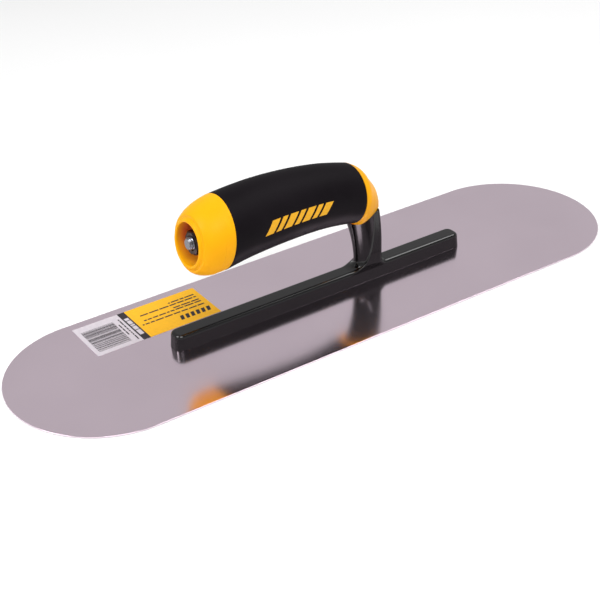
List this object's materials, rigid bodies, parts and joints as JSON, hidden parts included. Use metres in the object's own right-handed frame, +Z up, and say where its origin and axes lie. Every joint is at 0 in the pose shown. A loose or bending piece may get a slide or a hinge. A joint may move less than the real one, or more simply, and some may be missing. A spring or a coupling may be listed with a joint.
{
  "type": "steel finishing trowel",
  "caption": "Pool-type finishing trowel: thin round-ended steel blade, black mounting bar and shank, and an arched two-tone soft-grip handle.",
  "frame": {"origin": "centre of the blade's underside, which rests on the surface", "axes": "+X along the blade towards the front, where the shank rises; +Y across the blade; +Z up, from the blade to the handle"},
  "size_m": [0.4064, 0.1142, 0.0871],
  "materials": {
    "blade_steel": "satin polished stainless steel",
    "casting_black": "gloss black paint over cast aluminium",
    "stud_steel": "plain turned steel",
    "rod_zinc": "bright zinc plating",
    "fastener_dark": "dark oxide with worn edges",
    "core_yellow": "semi-gloss moulded yellow plastic",
    "grip_black": "matt soft elastomer",
    "label_film": "printed self-adhesive film"
  },
  "bodies": {
    "root": {"blade": "blade_steel", "mounting_casting": "casting_black", "blade_stud_1": "stud_steel", "blade_stud_2": "stud_steel", "blade_stud_3": "stud_steel", "blade_stud_4": "stud_steel", "blade_stud_5": "stud_steel", "blade_stud_6": "stud_steel", "blade_stud_7": "stud_steel", "blade_stud_8": "stud_steel", "handle_rod": "rod_zinc", "handle_core": "core_yellow", "grip_sleeve": "grip_black", "flat_washer": "fastener_dark", "spring_washer": "fastener_dark", "rod_nut": "fastener_dark", "label": "label_film"}
  },
  "joints": []
}
